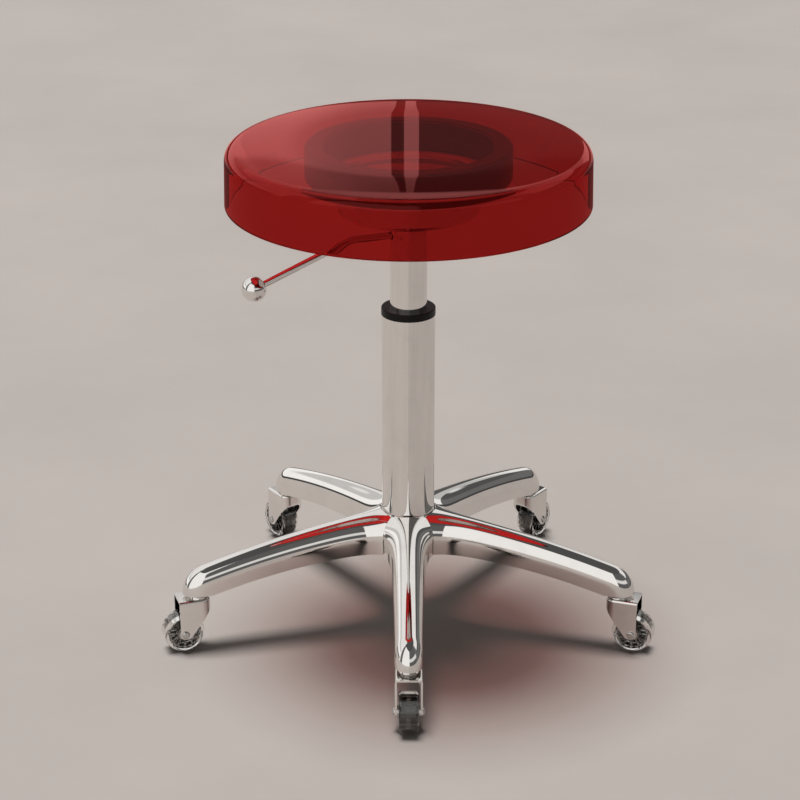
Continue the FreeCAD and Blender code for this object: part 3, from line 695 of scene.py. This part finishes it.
print("profile points:", len(leg.data.vertices))

# %% Leg: along the arc and down at the tip
for step in range(1, LEG_ARC_STEPS + 1):
    share, before = step / LEG_ARC_STEPS, (step - 1) / LEG_ARC_STEPS
    extrude()
    turn(math.degrees(leg_fall) / LEG_ARC_STEPS, leg_arc_centre)
    angle = leg_fall * share
    base = (LEG_ROOT[0] + leg_arc * math.sin(angle), 0, leg_arc_centre[2] + leg_arc * math.cos(angle))
    higher = higher_at(share) / higher_at(before)
    wider = wider_at(share) / wider_at(before)
    bpy.ops.transform.resize(value=(higher, wider, higher), center_override=base)
for step in range(LEG_ELBOW_STEPS):
    extrude()
    turn((90 - math.degrees(leg_fall)) / LEG_ELBOW_STEPS, (LEG_TIP[0], 0, LEG_TIP[1]))
bpy.ops.mesh.select_all(action="SELECT")
bpy.ops.mesh.remove_doubles(threshold=LEG_WELD)
bpy.ops.mesh.normals_make_consistent(inside=False)
print("leg box:", [tuple(round(v, 4) for v in corner) for corner in (leg.bound_box[0], leg.bound_box[6])])

# %% Leg: mitre, sheet thickness and hub
HALF_SECTOR = math.radians(36)
MITRE_GAP = 0.0001
for side in (1, -1):
    bpy.ops.mesh.select_all(action="SELECT")
    bpy.ops.mesh.bisect(plane_co=(MITRE_GAP, 0, 0), clear_outer=True,
                        plane_no=(-math.sin(HALF_SECTOR), side * math.cos(HALF_SECTOR), 0))
bpy.ops.object.mode_set(mode="OBJECT")
sheet = leg.modifiers.new("sheet", "SOLIDIFY")
sheet.thickness = LEG_SHEET
sheet.offset = -1.0
bpy.ops.object.modifier_apply(modifier=sheet.name)

bpy.ops.object.select_all(action="DESELECT")
bpy.ops.mesh.primitive_cylinder_add(vertices=HUB_STEPS, radius=HUB_RADIUS, depth=HUB_CUT)
cutter = bpy.context.object
bpy.ops.object.select_all(action="DESELECT")
leg.select_set(True)
bpy.context.view_layer.objects.active = leg
hub_cut = leg.modifiers.new("hub_cut", "BOOLEAN")
hub_cut.operation = "DIFFERENCE"
hub_cut.object = cutter
bpy.ops.object.modifier_apply(modifier=hub_cut.name)
bpy.data.objects.remove(cutter)
bpy.ops.object.shade_smooth_by_angle(angle=LEG_SMOOTH)
leg.data.materials.append(chrome)
print("leg triangles:", count_triangles(leg))

# %% Leg: five copies
FIRST_LEG = 270.0            # degrees from +X
LEG_APART = 72               # degrees from one leg to the next
for number in caster_numbers:
    bpy.ops.object.select_all(action="DESELECT")
    leg.select_set(True)
    bpy.context.view_layer.objects.active = leg
    bpy.ops.object.duplicate()
    copy = bpy.context.object
    copy.name = f"pressed_leg_{number}"
    copy.rotation_euler.z = math.radians(FIRST_LEG + LEG_APART * (number - 1))
    bpy.ops.object.transform_apply(rotation=True)
    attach(copy, "base")
    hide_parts(f"leg_{number}")
bpy.data.objects.remove(leg)
print("legs:", len(caster_numbers))

# %% [markdown]
# Seat
#
# The seat is one clear moulding: a flat middle, a soft shoulder, a rounded edge and an upright wall, 5 mm
# thick all over and open below. What is clear bends light at every facet, so it is turned here from one
# half section in many fine steps. A single vertex is extruded along the section, out over the top, down
# the wall, round the rim and back along the inside, and Spin carries it once round the axis.

# %% Seat: sizes
SEAT_TOP = 0.4986
SEAT_RADIUS = 0.175          # at the rim
SEAT_HEIGHT = 0.0585
SEAT_WALL = 0.00495          # a hair under 5 mm, so that it shares no face with the bond ring below it
SEAT_DRAFT = 0.0008          # rim wider than the top of the wall
SEAT_FLAT = 0.104            # radius of the flat middle
SEAT_EDGE = 0.012            # radius of the rounded edge
SEAT_SLOPE = math.radians(6)         # where the shoulder meets the edge
SEAT_RIM = 0.001             # radius of the rim's corners
SEAT_SPIN_STEPS = 480
FLAT_STEPS, SHOULDER_STEPS, EDGE_STEPS, WALL_STEPS, CORNER_STEPS = 4, 20, 18, 4, 6

shoulder_end = SEAT_RADIUS - SEAT_DRAFT - SEAT_EDGE * (1 - math.sin(SEAT_SLOPE))
shoulder_radius = (shoulder_end - SEAT_FLAT) / math.sin(SEAT_SLOPE)
edge_centre = (shoulder_end - SEAT_EDGE * math.sin(SEAT_SLOPE),
               SEAT_TOP - shoulder_radius * (1 - math.cos(SEAT_SLOPE)) - SEAT_EDGE * math.cos(SEAT_SLOPE))
seat_rim = SEAT_TOP - SEAT_HEIGHT
print("shoulder radius:", round(shoulder_radius, 4), "rim at", round(seat_rim, 4))


# %% Seat: half section
def arc(centre, radius, start, end, steps):
    """Points on an arc; angles count from straight up, towards the outside."""
    angles = [start + (end - start) * step / steps for step in range(steps + 1)]
    return [(centre[0] + radius * math.sin(a), centre[1] + radius * math.cos(a)) for a in angles]


def seat_skin(inset):
    """One skin from the axis to just above the rim."""
    points = [(SEAT_FLAT * step / FLAT_STEPS, SEAT_TOP - inset) for step in range(FLAT_STEPS)]
    shoulder_centre = (SEAT_FLAT, SEAT_TOP - shoulder_radius)
    points += arc(shoulder_centre, shoulder_radius - inset, 0, SEAT_SLOPE, SHOULDER_STEPS)
    points += arc(edge_centre, SEAT_EDGE - inset, SEAT_SLOPE, math.pi / 2, EDGE_STEPS)[1:]
    wall_top = points[-1]
    wall_end = (SEAT_RADIUS - inset, seat_rim + SEAT_RIM)
    for step in range(1, WALL_STEPS + 1):
        points.append(tuple(a + (b - a) * step / WALL_STEPS for a, b in zip(wall_top, wall_end)))
    return points


outer_centre = (SEAT_RADIUS - SEAT_RIM, seat_rim + SEAT_RIM)
inner_centre = (SEAT_RADIUS - SEAT_WALL + SEAT_RIM, seat_rim + SEAT_RIM)
outer_corner = arc(outer_centre, SEAT_RIM, math.pi / 2, math.pi, CORNER_STEPS)[1:]
inner_corner = arc(inner_centre, SEAT_RIM, math.pi, math.pi * 1.5, CORNER_STEPS)[:-1]
section = seat_skin(0) + outer_corner + inner_corner + seat_skin(SEAT_WALL)[::-1]
print("points in the seat's section:", len(section))

# %% Seat: spin
SPIN_WELD = 1e-6             # points closer than this become one
SPIN_SMOOTH = math.radians(35)       # edges sharper than this stay crisp


def spin_section(name, section, steps, finish):
    """A turned piece: one vertex extruded along the half section, then spun once round the axis."""
    bpy.ops.object.select_all(action="DESELECT")
    bpy.ops.mesh.primitive_plane_add(size=0.01)
    piece = bpy.context.object
    piece.name = name
    bpy.ops.object.mode_set(mode="EDIT")
    bpy.ops.mesh.select_all(action="SELECT")
    bpy.ops.mesh.merge(type="CENTER")
    bpy.ops.transform.translate(value=(section[0][0], 0, section[0][1]))
    for before, after in zip(section, section[1:]):
        extrude((after[0] - before[0], 0, after[1] - before[1]))
    bpy.ops.mesh.select_all(action="SELECT")
    bpy.ops.mesh.spin(steps=steps, angle=2 * math.pi, center=(0, 0, 0), axis=(0, 0, 1))
    bpy.ops.mesh.select_all(action="SELECT")
    bpy.ops.mesh.remove_doubles(threshold=SPIN_WELD)
    bpy.ops.mesh.normals_make_consistent(inside=False)
    bpy.ops.object.mode_set(mode="OBJECT")
    bpy.ops.object.shade_smooth_by_angle(angle=SPIN_SMOOTH)
    piece.data.materials.append(finish)
    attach(piece, "seat")
    return piece


seat = spin_section("seat_cap", section, SEAT_SPIN_STEPS, red_clear)
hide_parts("seat_shell")
print("seat triangles:", count_triangles(seat))

# %% [markdown]
# Drum
#
# Under the seat's top stands a thick dark ring, the drum, which shows through the red as a soft dark
# band. It ends level with the top of the mounting plate that is screwed under it. Its section is a
# plain upright bar with rounded corners, so the same spin makes it.

# %% Drum
DRUM_RADII = (0.0805, 0.0985)
DRUM_HEIGHTS = (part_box("mounting_plate")[1][2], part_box("support_ring")[1][2])
DRUM_ROUND = 0.0015
DRUM_SPIN_STEPS = 240

inner, outer = DRUM_RADII[0] + DRUM_ROUND, DRUM_RADII[1] - DRUM_ROUND
low, high = DRUM_HEIGHTS[0] + DRUM_ROUND, DRUM_HEIGHTS[1] - DRUM_ROUND
drum_section = []
for quarter, centre in enumerate(((outer, high), (outer, low), (inner, low), (inner, high))):
    start = quarter * math.pi / 2
    drum_section += arc(centre, DRUM_ROUND, start, start + math.pi / 2, CORNER_STEPS)
drum = spin_section("drum_ring", drum_section + drum_section[:1], DRUM_SPIN_STEPS, drum_plastic)
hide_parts("support_ring")
print("drum triangles:", count_triangles(drum))
